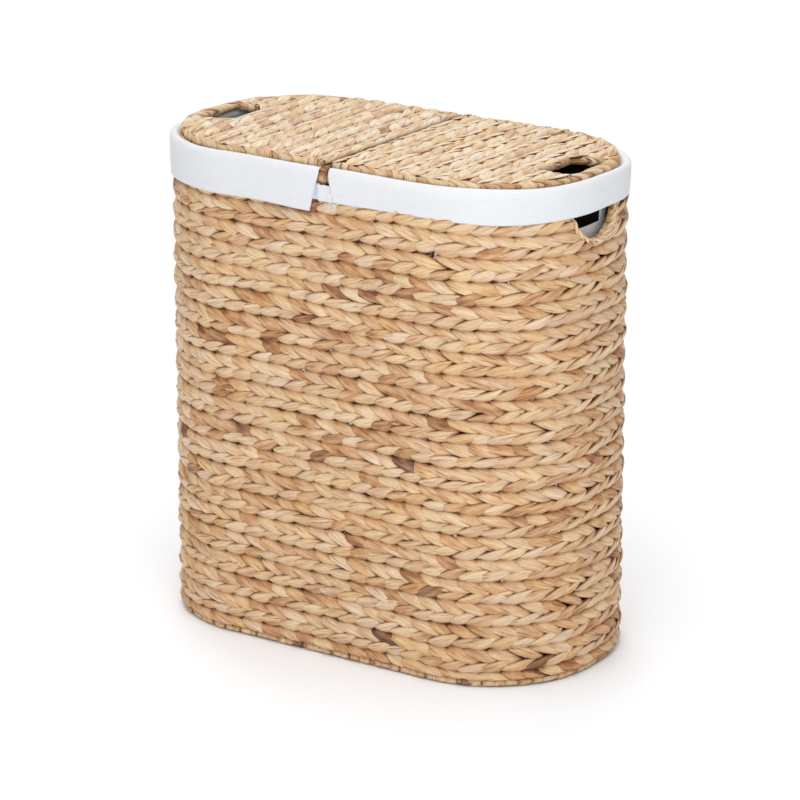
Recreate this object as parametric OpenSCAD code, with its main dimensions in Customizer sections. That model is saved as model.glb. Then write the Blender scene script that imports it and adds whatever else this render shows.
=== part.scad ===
// Double laundry basket, woven over a wire frame, with two hinged half lids and canvas liners.
// Origin: centre of the footprint, on the floor. +X runs along the length, +Z is up.

/* [Basket] */
// Length over the weave
basket_l = 590; // [520:10:700]
// Depth over the weave
basket_d = 317; // [310:1:360]
// Height to the top of the closed lids
basket_h = 630; // [560:10:700]
// Corner radius of the plan, over the weave
corner_r = 145; // [135:1:150]
// Thickness of the woven wall
wall_t = 12; // [11:1:13]

/* [Bindings] */
// Height of the wrapped binding round the base
base_h = 12; // [11:1:16]
// Height of the wrapped binding round the rim
rim_h = 14; // [12:1:18]
// Width of the rim binding, inwards from the outer face
rim_w = 14; // [13.5:0.5:15]

/* [Wire frame] */
// Diameter of the top and base rings and the centre bar
ring_d = 6; // [5:0.5:6]
// Diameter of the uprights and cross wires
upright_d = 4; // [3:0.5:4]
// Distance of the rings' centre lines from the outer face
ring_in = 6.5; // [6.5:0.1:7]
// Play round a wire in its groove
groove_gap = 0.3; // [0.1:0.1:0.4]

/* [Lids] */
// Thickness of a lid's wrapped edge
lid_edge_d = 13; // [12:0.5:13.5]
// Thickness of a lid's woven panel
lid_panel_t = 10; // [8:0.5:11]
// How far a lid's outline stays inside the wall's outer face
lid_in = 7; // [6:0.5:8]
// Diameter of a lid's frame wire, which is also its hinge pin
lid_wire_d = 5; // [4:0.5:5]
// Distance of each hinge axis from the seam
hinge_x = 7; // [6.9:0.1:8]
// Length of a lid's handle slot
slot_l = 86; // [70:2:96]
// Distance of the slot's straight edge from the basket's end
slot_in = 68; // [60:1:75]

/* [Wall handles] */
// Radius of the half-moon opening
handle_r = 43; // [38:1:45]
// Height of the opening's flat top edge
handle_top = 592; // [560:1:594]
// Offset of the opening's centre towards the front
handle_y = -15; // [-20:1:0]
// Width of the bound edge round the opening
handle_edge = 6; // [4:0.5:6]

/* [Liners] */
// Thickness of the canvas solids
canvas_t = 1.5; // [1:0.1:1.8]
// Height of the lower edge of the folded cuffs
cuff_low = 576; // [560:1:584]
// Half the gap between the two cuffs
cuff_gap = 12; // [10:0.5:16]
// Gap between the rim binding and the liner bags
bag_gap = 1.5; // [1:0.1:2]
// Distance of each bag's centre wall from the seam
bag_x = 6.5; // [6:0.5:10]
// Height of the lower edge of the hand slots in the bags
bag_slot_low = 560; // [556:1:566]
// Half the length of the hand slots in the bags
bag_slot_half = 34; // [28:1:38]

/* [Ties] */
// Distance of the cord ties from the middle of the seam
tie_y = 132; // [128:0.5:132]
// Length of a cord tie along the seam
tie_l = 11; // [8:0.5:11]
// Thickness of the cord round a wire
tie_t = 2.9; // [2.5:0.1:3]

/* [Hidden] */
$fn = 96;
eps = 0.1;
hinge_z = basket_h - lid_edge_d / 2;
rim_top = basket_h - lid_edge_d - 2;
rim_z = rim_top - rim_h;
ring_z = rim_top - rim_h / 2;
base_ring_z = base_h / 2;
edge_in = lid_in + lid_edge_d / 2;
panel_gap = lid_edge_d / 2 + eps;
notch_l = tie_l + 1.2;
pin_gap = 0.1;
grip_half = 48;
cut_gap = 0.1;
cuff_play = 0.8;
cuff_z = rim_top + eps;
cuff_top = cuff_z + canvas_t - 0.2;
bag_in = rim_w + bag_gap;
bag_top = rim_top;
bag_centre_top = 600;
plate_z = 2.5;
plate_t = 7;
cross_z = plate_z + plate_t + upright_d / 2 + eps;
floor_z = plate_z + plate_t + upright_d + 0.5;
bag_floor_z = floor_z + canvas_t;
mid_x = basket_l / 2 - corner_r;
mid_y = basket_d / 2 - corner_r;
tab_t = 1;
tab_h = 22;
tab_z = 584;
tab_lap = 3;
far = basket_l;

// ---------- plan outlines ----------

// The basket's plan, moved inwards by inset
module plan(inset) {
    r = corner_r - inset;
    square([2 * mid_x, basket_d - 2 * inset], center = true);
    square([basket_l - 2 * inset, 2 * mid_y], center = true);
    for (sx = [-1, 1]) for (sy = [-1, 1])
        translate([sx * mid_x, sy * mid_y]) circle(r = r);
}

// The part of the plan on the right of x = from
module half_plan(inset, from) {
    intersection() {
        plan(inset);
        translate([from, -far / 2]) square(far);
    }
}

// A band of the plan between two insets, standing from z0 to z1
module band(outer, inner, z0, z1) {
    translate([0, 0, z0]) linear_extrude(z1 - z0) difference() {
        plan(outer);
        plan(inner);
    }
}

// ---------- round tubes along the plan ----------

// A round bar of radius r from the middle of the plan's corner arc to the straights
module corner_bar(inset, r) {
    translate([mid_x, mid_y, 0]) rotate_extrude(angle = 90)
        translate([corner_r - inset, 0]) circle(r = r);
}

// A round bar along X at depth y, between two x values
module x_bar(x0, x1, y, r) {
    translate([x0, y, 0]) rotate([0, 90, 0]) cylinder(h = x1 - x0, r = r);
}

// A round bar along Y at x, between two y values
module y_bar(y0, y1, x, r) {
    translate([x, y0, 0]) rotate([-90, 0, 0]) cylinder(h = y1 - y0, r = r);
}

// A closed ring of round bar along the whole plan
module ring(inset, r) {
    for (sx = [0, 1]) mirror([sx, 0, 0]) {
        for (sy = [0, 1]) mirror([0, sy, 0]) {
            corner_bar(inset, r);
            x_bar(0, mid_x, basket_d / 2 - inset, r);
        }
        y_bar(-mid_y, mid_y, basket_l / 2 - inset, r);
    }
}

// The right lid's closed outline in round bar, with its straight side on the hinge axis
module lid_ring(r) {
    y_end = basket_d / 2 - edge_in;
    for (sy = [0, 1]) mirror([0, sy, 0]) {
        corner_bar(edge_in, r);
        x_bar(hinge_x, mid_x, y_end, r);
        translate([hinge_x, y_end, 0]) sphere(r = r);
    }
    y_bar(-mid_y, mid_y, basket_l / 2 - edge_in, r);
    y_bar(-y_end, y_end, hinge_x, r);
}

// ---------- wire frame ----------

// Places its child at every upright, with +X pointing outwards
module at_uprights() {
    reach = corner_r - ring_in;
    for (sy = [0, 1]) mirror([0, sy, 0]) {
        for (x = [-mid_x, 0, mid_x])
            translate([x, basket_d / 2 - ring_in, 0]) rotate([0, 0, 90]) children();
        for (sx = [0, 1]) mirror([sx, 0, 0])
            translate([mid_x, mid_y, 0]) rotate([0, 0, 45]) translate([reach, 0, 0]) children();
    }
}

// Room for the uprights, open on the inside of the weave
module upright_grooves() {
    half = upright_d / 2 + groove_gap;
    at_uprights() translate([-rim_w, -half, base_ring_z])
        cube([rim_w + half, 2 * half, ring_z - base_ring_z]);
}

// Room for a ring at height z, open on the inside of the binding
module ring_groove(z) {
    half = ring_d / 2 + groove_gap;
    translate([0, 0, z - half]) linear_extrude(2 * half) plan(ring_in - half);
}

module top_ring_wire() {
    color("dimgray") translate([0, 0, ring_z]) ring(ring_in, ring_d / 2);
}

module base_ring_wire() {
    color("dimgray") translate([0, 0, base_ring_z]) ring(ring_in, ring_d / 2);
}

module upright_wires() {
    low = base_ring_z + ring_d / 2 + eps;
    high = ring_z - ring_d / 2 - eps;
    color("dimgray") at_uprights() translate([0, 0, low]) cylinder(h = high - low, d = upright_d);
}

module cross_wires() {
    spacing = 100;
    color("dimgray") for (i = [-2 : 2]) {
        x = i * spacing;
        r = corner_r - base_h - 1;
        bend = max(abs(x) - mid_x, 0);
        y_end = mid_y + sqrt(r * r - bend * bend);
        translate([0, 0, cross_z]) y_bar(-y_end, y_end, x, upright_d / 2);
    }
}

module centre_bar() {
    y_end = basket_d / 2 - ring_in - ring_d / 2 - eps;
    color("dimgray") translate([0, 0, ring_z]) y_bar(-y_end, y_end, 0, ring_d / 2);
}

// ---------- weave ----------

// The half-moon handle opening, grown by edge, cut through the right end
module handle_cut(edge) {
    r = handle_r + edge;
    depth = 60;
    translate([basket_l / 2 - depth / 2, handle_y, handle_top]) rotate([90, 0, 90])
        linear_extrude(depth) intersection() {
            circle(r = r);
            translate([-far / 2, edge - far]) square(far);
        }
}

module handle_cuts(edge) {
    handle_cut(edge);
    mirror([1, 0, 0]) handle_cut(edge);
}

module woven_wall() {
    color("burlywood") difference() {
        band(0, wall_t, base_h, rim_z);
        upright_grooves();
        handle_cuts(handle_edge + eps);
    }
}

module woven_base() {
    color("burlywood") translate([0, 0, plate_z]) linear_extrude(plate_t) plan(wall_t + eps);
}

module base_binding() {
    color("tan") difference() {
        band(0, wall_t, 0, base_h);
        ring_groove(base_ring_z);
        upright_grooves();
    }
}

module rim_binding() {
    bar_half = ring_d / 2 + groove_gap;
    color("tan") difference() {
        band(0, rim_w, rim_z, rim_top);
        ring_groove(ring_z);
        upright_grooves();
        translate([-bar_half, -basket_d / 2 + ring_in, ring_z - bar_half])
            cube([2 * bar_half, basket_d - 2 * ring_in, 2 * bar_half]);
    }
}

module right_handle_binding() {
    proud = 0.5;
    color("tan") intersection() {
        band(-proud, wall_t + proud, base_h, rim_z);
        difference() {
            handle_cut(handle_edge);
            handle_cut(0);
        }
    }
}

module left_handle_binding() {
    mirror([1, 0, 0]) right_handle_binding();
}

// ---------- canvas liners ----------

module right_liner_bag() {
    wall_x = bag_x + canvas_t;
    slot_h = handle_top - bag_slot_low;
    color("white") difference() {
        union() {
            translate([0, 0, bag_floor_z]) linear_extrude(bag_centre_top - bag_floor_z) difference() {
                half_plan(bag_in, bag_x);
                half_plan(bag_in + canvas_t, wall_x);
            }
            translate([0, 0, bag_centre_top]) linear_extrude(bag_top - bag_centre_top) difference() {
                half_plan(bag_in, cuff_gap);
                plan(bag_in + canvas_t);
            }
        }
        translate([mid_x, handle_y - bag_slot_half, bag_slot_low])
            cube([corner_r, 2 * bag_slot_half, slot_h]);
    }
}

module right_liner_floor() {
    color("white") translate([0, 0, floor_z]) linear_extrude(canvas_t - eps)
        half_plan(bag_in, bag_x);
}

module right_liner_cuff() {
    outer = -cuff_play - canvas_t;
    color("white") {
        translate([0, 0, cuff_low]) linear_extrude(cuff_z - cuff_low) difference() {
            half_plan(outer, cuff_gap);
            plan(-cuff_play);
        }
        translate([0, 0, cuff_z]) linear_extrude(cuff_top - cuff_z) difference() {
            half_plan(outer, cuff_gap);
            plan(bag_in + canvas_t);
        }
    }
}

module left_liner_bag() {
    mirror([1, 0, 0]) right_liner_bag();
}

module left_liner_floor() {
    mirror([1, 0, 0]) right_liner_floor();
}

module left_liner_cuff() {
    mirror([1, 0, 0]) right_liner_cuff();
}

// Two tabs that join the cuffs, one lapped over the other
module front_liner_strap() {
    face = -basket_d / 2 - cuff_play;
    reach = cuff_gap + tab_lap;
    color("white") {
        translate([-cuff_gap + eps, face - tab_t, tab_z]) cube([reach, tab_t, tab_h]);
        translate([-tab_lap, face - 2 * tab_t - eps, tab_z]) cube([reach - eps, tab_t, tab_h]);
    }
}

module rear_liner_strap() {
    mirror([0, 1, 0]) front_liner_strap();
}

// ---------- hinge ties ----------

// Cord wound round both hinge wires and the centre bar
module front_hinge_tie() {
    r_pin = lid_wire_d / 2 + pin_gap;
    r_bar = ring_d / 2 + pin_gap;
    neck = 7;
    color("saddlebrown") translate([0, tie_l / 2 - tie_y, 0]) rotate([90, 0, 0])
        linear_extrude(tie_l) difference() {
            union() {
                for (sx = [-1, 1]) translate([sx * hinge_x, hinge_z]) circle(r = r_pin + tie_t);
                translate([0, ring_z]) circle(r = r_bar + tie_t - 0.3);
                translate([-hinge_x, hinge_z - tie_t / 2]) square([2 * hinge_x, tie_t]);
                translate([-neck / 2, ring_z]) square([neck, hinge_z - ring_z]);
            }
            for (sx = [-1, 1]) translate([sx * hinge_x, hinge_z]) circle(r = r_pin);
            translate([0, ring_z]) circle(r = r_bar);
        }
}

module rear_hinge_tie() {
    mirror([0, 1, 0]) front_hinge_tie();
}

// ---------- lids ----------

// Outline of the handle slot of the right lid, open towards the grip bar
module slot_plan() {
    r = 12;
    x0 = basket_l / 2 - slot_in;
    translate([x0 + r, -slot_l / 2]) square([slot_in, slot_l]);
    translate([x0, r - slot_l / 2]) square([slot_in, slot_l - 2 * r]);
    for (sy = [-1, 1]) translate([x0 + r, sy * (slot_l / 2 - r)]) circle(r = r);
}

module right_lid_panel() {
    color("burlywood") translate([0, 0, hinge_z - lid_panel_t / 2]) linear_extrude(lid_panel_t)
        difference() {
            half_plan(lid_in + lid_edge_d / 2 + panel_gap, hinge_x + panel_gap);
            slot_plan();
        }
}

// The full wrapped edge of the right lid, grooved for its wire
module lid_edge_tube() {
    half = lid_wire_d / 2 + pin_gap / 2;
    difference() {
        translate([0, 0, hinge_z]) lid_ring(lid_edge_d / 2);
        translate([0, 0, hinge_z - half]) linear_extrude(2 * half)
            half_plan(edge_in - half, hinge_x - half);
    }
}

// The stretch of the lid's edge that the hand holds
module grip_zone(grow) {
    half = grip_half + grow;
    translate([mid_x, -half, hinge_z - lid_edge_d]) cube([corner_r, 2 * half, 2 * lid_edge_d]);
}

module right_lid_edge() {
    color("tan") difference() {
        lid_edge_tube();
        grip_zone(cut_gap);
        for (sy = [-1, 1]) translate([0, sy * tie_y - notch_l / 2, hinge_z - lid_edge_d])
            cube([hinge_x + panel_gap, notch_l, 2 * lid_edge_d]);
    }
}

module right_lid_grip() {
    color("wheat") intersection() {
        lid_edge_tube();
        grip_zone(0);
    }
}

module right_lid_wire() {
    color("dimgray") translate([0, 0, hinge_z]) lid_ring(lid_wire_d / 2);
}

module left_lid_panel() {
    mirror([1, 0, 0]) right_lid_panel();
}

module left_lid_edge() {
    mirror([1, 0, 0]) right_lid_edge();
}

module left_lid_grip() {
    mirror([1, 0, 0]) right_lid_grip();
}

module left_lid_wire() {
    mirror([1, 0, 0]) right_lid_wire();
}

woven_wall();
woven_base();
base_binding();
rim_binding();
left_handle_binding();
right_handle_binding();
top_ring_wire();
base_ring_wire();
upright_wires();
cross_wires();
centre_bar();
left_liner_bag();
right_liner_bag();
left_liner_floor();
right_liner_floor();
left_liner_cuff();
right_liner_cuff();
front_liner_strap();
rear_liner_strap();
front_hinge_tie();
rear_hinge_tie();
left_lid_panel();
left_lid_edge();
left_lid_grip();
left_lid_wire();
right_lid_panel();
right_lid_edge();
right_lid_grip();
right_lid_wire();
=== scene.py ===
import math

import bpy
import numpy as np
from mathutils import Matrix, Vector


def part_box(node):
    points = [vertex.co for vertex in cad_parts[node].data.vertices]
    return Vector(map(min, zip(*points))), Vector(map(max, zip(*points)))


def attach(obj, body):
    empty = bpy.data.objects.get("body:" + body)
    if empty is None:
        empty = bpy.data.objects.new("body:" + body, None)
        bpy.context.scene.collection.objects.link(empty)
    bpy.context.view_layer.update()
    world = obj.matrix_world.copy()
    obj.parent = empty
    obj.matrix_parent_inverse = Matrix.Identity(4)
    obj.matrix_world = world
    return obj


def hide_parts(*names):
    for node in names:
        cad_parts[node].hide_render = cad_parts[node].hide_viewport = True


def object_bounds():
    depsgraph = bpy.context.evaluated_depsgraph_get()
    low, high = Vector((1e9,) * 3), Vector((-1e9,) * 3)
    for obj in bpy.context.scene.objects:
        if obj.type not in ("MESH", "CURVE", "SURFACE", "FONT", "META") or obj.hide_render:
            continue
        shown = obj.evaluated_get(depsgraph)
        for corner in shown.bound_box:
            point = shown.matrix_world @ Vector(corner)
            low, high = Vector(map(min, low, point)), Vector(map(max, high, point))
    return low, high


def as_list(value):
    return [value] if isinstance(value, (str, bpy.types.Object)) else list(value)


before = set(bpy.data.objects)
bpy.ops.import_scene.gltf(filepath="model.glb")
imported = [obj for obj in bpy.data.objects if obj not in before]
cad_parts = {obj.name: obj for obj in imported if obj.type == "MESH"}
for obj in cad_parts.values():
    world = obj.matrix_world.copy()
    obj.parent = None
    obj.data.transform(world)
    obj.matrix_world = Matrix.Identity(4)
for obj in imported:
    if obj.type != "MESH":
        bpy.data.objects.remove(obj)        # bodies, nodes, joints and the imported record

rng = np.random.default_rng(11)
cad_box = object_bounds()

# ---------- driving sizes in metres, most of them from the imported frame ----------

MM = 0.001
TURN = 2 * math.pi
STRAND_UNIT = 0.01         # the strand attribute counts along and across in these


def node_box(name):
    """Lowest and highest corner of a CAD node."""
    lo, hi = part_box(name)
    return np.array(lo, float), np.array(hi, float)


WALL_LO, WALL_HI = node_box("woven_wall")
RIM_LO, RIM_HI = node_box("rim_binding")
BASE_LO, BASE_HI = node_box("base_binding")
PLATE_LO, PLATE_HI = node_box("woven_base")
EDGE_LO, EDGE_HI = node_box("right_lid_edge")
GRIP_LO, GRIP_HI = node_box("right_lid_grip")
HANDLE_LO, HANDLE_HI = node_box("right_handle_binding")
BAG_LO, BAG_HI = node_box("right_liner_bag")
FLOOR_LO, FLOOR_HI = node_box("right_liner_floor")
CUFF_LO, _ = node_box("right_liner_cuff")
STRAP_LO, STRAP_HI = node_box("front_liner_strap")
TIE_LO, TIE_HI = node_box("front_hinge_tie")
BAR_LO, BAR_HI = node_box("centre_bar")

HALF_L = WALL_HI[0]
HALF_D = WALL_HI[1]
CORNER_R = 145 * MM        # of the plan, a guess from the curve of the rim
MID_X = HALF_L - CORNER_R
MID_Y = HALF_D - CORNER_R
HINGE_X = 7 * MM           # each lid's hinge lies this far from the seam
EDGE_R = (EDGE_HI[2] - EDGE_LO[2]) / 2
HINGE_Z = EDGE_HI[2] - EDGE_R
EDGE_IN = HALF_D - EDGE_HI[1] + EDGE_R
TIE_Y = -(TIE_LO[1] + TIE_HI[1]) / 2
TIE_HALF = (TIE_HI[1] - TIE_LO[1]) / 2
HANDLE_Y = (HANDLE_LO[1] + HANDLE_HI[1]) / 2
HANDLE_EDGE = 6 * MM       # width of the binding round a hand opening
HANDLE_TOP = HANDLE_HI[2] - HANDLE_EDGE
HANDLE_R = (HANDLE_HI[1] - HANDLE_LO[1]) / 2 - HANDLE_EDGE
SLOT_X = HALF_L - 68 * MM  # seamward side of a lid's slot
SLOT_HALF = 43 * MM
BAG_SLOT_LOW = 560 * MM    # lower side of the hand slot in a liner bag
BAG_SLOT_HALF = 34 * MM
BAG_SEAM_TOP = 600 * MM    # top of a bag along the basket's seam
BAG_CORNER = 10 * MM       # radius of a bag's corners at the seam
STITCH_PITCH = 26.6 * MM
STITCH_HALF = 27.5 * MM    # half a stitch's length
STITCH_ROWS = 41
ROW_H = (WALL_HI[2] - WALL_LO[2]) / STITCH_ROWS
CUFF_HEM = {-1: 571 * MM, 1: 583.5 * MM}    # height of the left and right cuff's hem
UNDER_CUFF = 2.5 * MM      # from this far above the hem, stitches are pressed in,
PRESSED = 0.6 * MM         # and stand no prouder than this
STITCH_FLOOR = -9.0 * MM   # depth that the wall's stitches reach behind its face
CORE_OUT, CORE_IN = -5.5 * MM, -11.5 * MM   # the weave's core, behind the wall's face, painted dark as the shade in the gaps
CORE_GROW = 3.5 * MM       # the core keeps this far back from a hand opening

# ---------- walking round the plan ----------

QUARTER = CORNER_R * math.pi / 2
SEG_LEN = np.array([2 * MID_X, QUARTER, 2 * MID_Y, QUARTER] * 2)
SEG_START = np.concatenate([[0], np.cumsum(SEG_LEN)[:-1]])
SEG_CX = np.array([-1, 1, 1, 1, 1, -1, -1, -1]) * MID_X
SEG_CY = np.array([-1, -1, -1, 1, 1, 1, 1, -1]) * MID_Y
SEG_TURN = np.radians([-90, -90, 0, 0, 90, 90, 180, 180])
SEG_ARC = np.array([0, 1] * 4)
PERIMETER = SEG_LEN.sum()


def plan_at(s, out):
    """Point of the plan at arc length s, moved out of the outer face by out, and its outward normal."""
    s = np.mod(s, PERIMETER)
    k = np.clip(np.searchsorted(SEG_START, s, side="right") - 1, 0, 7)
    run = s - SEG_START[k]
    turn = SEG_TURN[k] + SEG_ARC[k] * run / CORNER_R
    run = np.where(SEG_ARC[k] == 1, 0.0, run)
    nx, ny = np.cos(turn), np.sin(turn)
    x = SEG_CX[k] + (CORNER_R + out) * nx - ny * run
    y = SEG_CY[k] + (CORNER_R + out) * ny + nx * run
    return x, y, nx, ny


def on_wall(u, v, n):
    """Surface map: u along the wall, v is height, n outwards from the outer face."""
    x, y, _, _ = plan_at(u, n)
    return stack(x, y, v + 0 * x)


def at_front(x):
    """Arc length of the front face at x."""
    return MID_X + x


def at_back(x):
    """Arc length of the rear face at x."""
    return SEG_START[4] + MID_X - x


def at_right(y):
    """Arc length of the right end at y."""
    return SEG_START[2] + MID_Y + y


def at_left(y):
    """Arc length of the left end at y."""
    return SEG_START[6] + MID_Y - y


def round_gap(u, centre):
    """Distance round the wall from centre to u, the short way."""
    return np.mod(u - centre + PERIMETER / 2, PERIMETER) - PERIMETER / 2


def plan_limit(x, y, inset):
    """Moves points that lie outside the plan at that inset back onto its outline."""
    r = CORNER_R - inset
    ax, ay = np.abs(x), np.abs(y)
    qx, qy = np.maximum(ax - MID_X, 0), np.maximum(ay - MID_Y, 0)
    d = np.hypot(qx, qy)
    over = np.maximum(d - r, 0)
    reach = np.where(d > 1e-9, d, 1)
    return x - np.sign(x) * over * qx / reach, y - np.sign(y) * over * qy / reach


# ---------- meshes ----------


def stack(*parts):
    """Joins grids of numbers into a grid of points."""
    return np.stack(parts, axis=-1)


def raised(xy, level):
    """Gives plan points a height, one number or a grid of them."""
    return np.concatenate([xy, np.broadcast_to(level, xy.shape[:-1])[..., None]], axis=-1)


def ring_angles(count):
    """Angles of count points round a circle."""
    return np.arange(count) / count * TURN


def arc_lengths(pts):
    """Arc length at each point of a polyline."""
    return np.concatenate([[0], np.cumsum(np.linalg.norm(np.diff(pts, axis=0), axis=1))])


def unit(vectors):
    """Vectors of length 1 in the same directions."""
    return vectors / np.maximum(np.linalg.norm(vectors, axis=-1, keepdims=True), 1e-12)


def power(a, p):
    """Signed power, which makes a circle's section squarer or slimmer."""
    return np.sign(a) * np.abs(a) ** p


def place(name, data):
    """Puts data into the scene as an object."""
    obj = bpy.data.objects.new(name, data)
    bpy.context.scene.collection.objects.link(obj)
    return obj


class Heap:
    """Collects points, faces and strand attributes for one piece."""

    def __init__(self):
        self.co, self.strand, self.tone, self.edge, self.faces = [], [], [], [], []
        self.count = 0

    def add(self, co, strand, tone, edge, faces):
        """Adds a grid of points; strand is (along, across, seed), spread over it as tone and edge are; edge
        weights painted shade where strands meet.
        """
        along, across, seed = strand
        values = (along / STRAND_UNIT, across / STRAND_UNIT, seed, tone, edge)
        values = [np.broadcast_to(value, co.shape[:-1]).ravel() for value in values]
        self.co.append(co.reshape(-1, 3))
        self.strand.append(stack(*values[:3]))
        self.tone.append(values[3])
        self.edge.append(values[4])
        self.faces += [f + self.count for f in faces]
        self.count += len(values[3])

    def make(self, name, material, body, replaced=None):
        """Makes the piece, with its material, on its body, and hides the CAD node it replaces."""
        co = np.concatenate(self.co).astype(np.float32)
        me = bpy.data.meshes.new(name)
        me.vertices.add(len(co))
        me.vertices.foreach_set("co", co.ravel())
        idx = np.concatenate([f.ravel() for f in self.faces]).astype(np.int32)
        sizes = np.concatenate([np.full(len(f), f.shape[1]) for f in self.faces])
        starts = np.concatenate([[0], np.cumsum(sizes)[:-1]]).astype(np.int32)
        me.loops.add(len(idx))
        me.loops.foreach_set("vertex_index", idx)
        me.polygons.add(len(sizes))
        me.polygons.foreach_set("loop_start", starts)
        me.update(calc_edges=True)
        me.validate()
        me.polygons.foreach_set("use_smooth", np.full(len(me.polygons), True))
        for label, parts, kind, key in (
            ("strand", self.strand, "FLOAT_VECTOR", "vector"),
            ("tone", self.tone, "FLOAT", "value"),
            ("edge", self.edge, "FLOAT", "value"),
        ):
            attr = me.attributes.new(label, kind, "POINT")
            attr.data.foreach_set(key, np.concatenate(parts).astype(np.float32).ravel())
        obj = place(name, me)
        me.materials.append(material)
        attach(obj, body)
        if replaced:
            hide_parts(replaced)
        return obj


def tube_faces(count, rings, sides, closed):
    """Quads of count tubes, each of rings by sides vertices, and their end caps."""
    base = np.arange(count)[:, None, None] * rings * sides
    r = np.arange(rings if closed else rings - 1)[None, :, None]
    s = np.arange(sides)[None, None, :]
    here, ahead, s2 = base + r * sides, base + (r + 1) % rings * sides, (s + 1) % sides
    quads = stack(here + s, here + s2, ahead + s2, ahead + s).reshape(-1, 4)
    if closed:
        return [quads]
    side = np.arange(sides)[None, :]
    first = base[:, 0] + side[:, ::-1]
    last = base[:, 0] + (rings - 1) * sides + side
    return [quads, first, last]


LENS_RINGS, LENS_SIDES = 13, 12    # points along and round one stitch


def pick_tones(count, dark=0.026):
    """Mostly straw and tan strands, with some mauve and a few dark brown ones."""
    tone = np.clip(rng.normal(0.27, 0.125, count), 0.02, 0.6)
    mauve = rng.random(count) < 0.11
    tone[mauve] = rng.uniform(0.46, 0.66, mauve.sum())
    brown = rng.random(count) < dark
    tone[brown] = rng.uniform(0.64, 0.92, brown.sum())
    return tone


def leaf_width(t):
    """Blunt at the outer end, where the strand turns in, and drawn to a point at the other."""
    blunt = (1 - np.clip(-t, 0, 1) ** 2.4) ** 0.66
    point = (1 - np.clip(t, 0, 1) ** 1.7) ** 0.95
    return np.where(t < 0, blunt, point)


def spreads(count):
    """A draw of normal numbers, one for each strand, for the spread it is given."""
    return lambda spread: rng.normal(0, spread, (count, 1, 1))


def lens_strands(heap, u, v, lay, surface, limit, half_wid=7.9 * MM, bulge=4.5 * MM, sink=-2.4 * MM,
                 dive=2.8 * MM, crown=3.3 * MM, tones=None, lean=17.0, shingle=1.6 * MM):
    """A row of leaf-shaped stitches at (u, v), each over its neighbour.

    They rise along u where lay is 1 and fall where it is -1. The stitch is drawn in its own
    frame, a along it, b across it and n out of the surface, and then tilted.
    """
    count = len(u)
    vary = spreads(count)
    falling = lay < 0
    t = np.sin(np.linspace(-0.5, 0.5, LENS_RINGS) * math.pi * 0.985)[None, :, None]
    ang = ring_angles(LENS_SIDES)[None, None, :]
    q, c = power(np.cos(ang), 0.85), np.sin(ang)
    # falling stitches are longer and slimmer than rising ones
    long = STITCH_HALF * (1 + vary(0.06)) * (1.1 if falling else 1.0)
    wide = half_wid * (1 + vary(0.09)) * (0.94 if falling else 1.1)
    butt = np.clip(-0.2 - 1.6 * t, 0, 1)
    high = bulge * (1 + vary(0.13))
    tilt = np.radians(lean + vary(3.0)) * lay
    bend = vary(0.8 * MM) - 0.8 * MM * lay
    skew = vary(0.12)
    twist = vary(0.7 * MM)
    a = long * t
    across = wide * leaf_width(t) * q
    b = across + bend * np.cos(t * math.pi / 2) + skew * wide * t
    top = np.maximum(c, 0) ** 0.6
    under = np.minimum(c, 0) * 0.35
    fold_at = rng.uniform(-0.5, 0.5, (count, 1, 1))
    fold_by = np.clip(vary(0.45), -0.9, 0.9) * MM
    fold = fold_by * np.exp(-(((q - fold_at) / 0.22) ** 2)) * top
    n = sink + high * (top + under) * (1 - np.abs(t) ** 3) ** 0.6
    n = n - dive * np.clip(t, 0, 1) ** 2.5 - 1.5 * dive * np.clip(-t, 0, 1) ** 4
    n = n + fold + (shingle * lay + twist * t) * q
    uu = u[:, None, None] + a * np.cos(tilt) - b * np.sin(tilt)
    rise = a * np.sin(tilt) + b * np.cos(tilt)
    vv = v[:, None, None] + rise + 0.9 * MM * lay
    # the blunt end turns in between two braids and sinks into a groove; the groove's dark is painted shade
    # as well, carried in edge
    outward = np.clip(0.5 - lay * rise / ROW_H, 0, 1.2)
    n = n - crown * outward ** 2.5 * (0.72 + 0.45 * butt) + (-0.25 if falling else 0.5) * MM
    co = surface(*limit(uu, vv, n))
    tones = pick_tones(count) if tones is None else tones
    seed = rng.uniform(0, 100, count)
    # edge weights painted shade: the stitch's sides and ends, and the groove along the braid's boundary,
    # are darkened in the leaf materials
    edge = np.clip(np.maximum((np.abs(q) - 0.6) / 0.4, np.abs(t) ** 6), 0, 1)
    furrow_shade = np.clip((outward - 0.74) / 0.3, 0, 1) ** 1.5 * (0.12 + 0.88 * butt)
    edge = np.maximum(edge * (0.66 if falling else 1.0), furrow_shade)
    tone = tones[:, None, None] + (0.035 if falling else -0.03)
    heap.add(co, (a, across, seed[:, None, None]), tone, edge,
             tube_faces(count, LENS_RINGS, LENS_SIDES, closed=False))


def walk(path, s, closed=False):
    """Point and unit tangent of a polyline at arc lengths s."""
    pts = np.vstack([path, path[:1]]) if closed else path
    where = arc_lengths(pts)
    total = where[-1]

    def at(x):
        x = np.mod(x, total) if closed else x
        return stack(*(np.interp(x, where, pts[:, i]) for i in range(pts.shape[1])))

    step = 0.5 * MM
    lo, hi = (s - step, s + step) if closed else (np.clip(s - step, 0, total), np.clip(s + step, 0, total))
    return at(s), unit(at(hi) - at(lo))


def path_length(path, closed=False):
    """Length of a polyline."""
    pts = np.vstack([path, path[:1]]) if closed else path
    return np.linalg.norm(np.diff(pts, axis=0), axis=1).sum()

WRAP_RINGS, WRAP_SIDES = 18, 8     # points round the bar and round the band's own section


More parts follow.
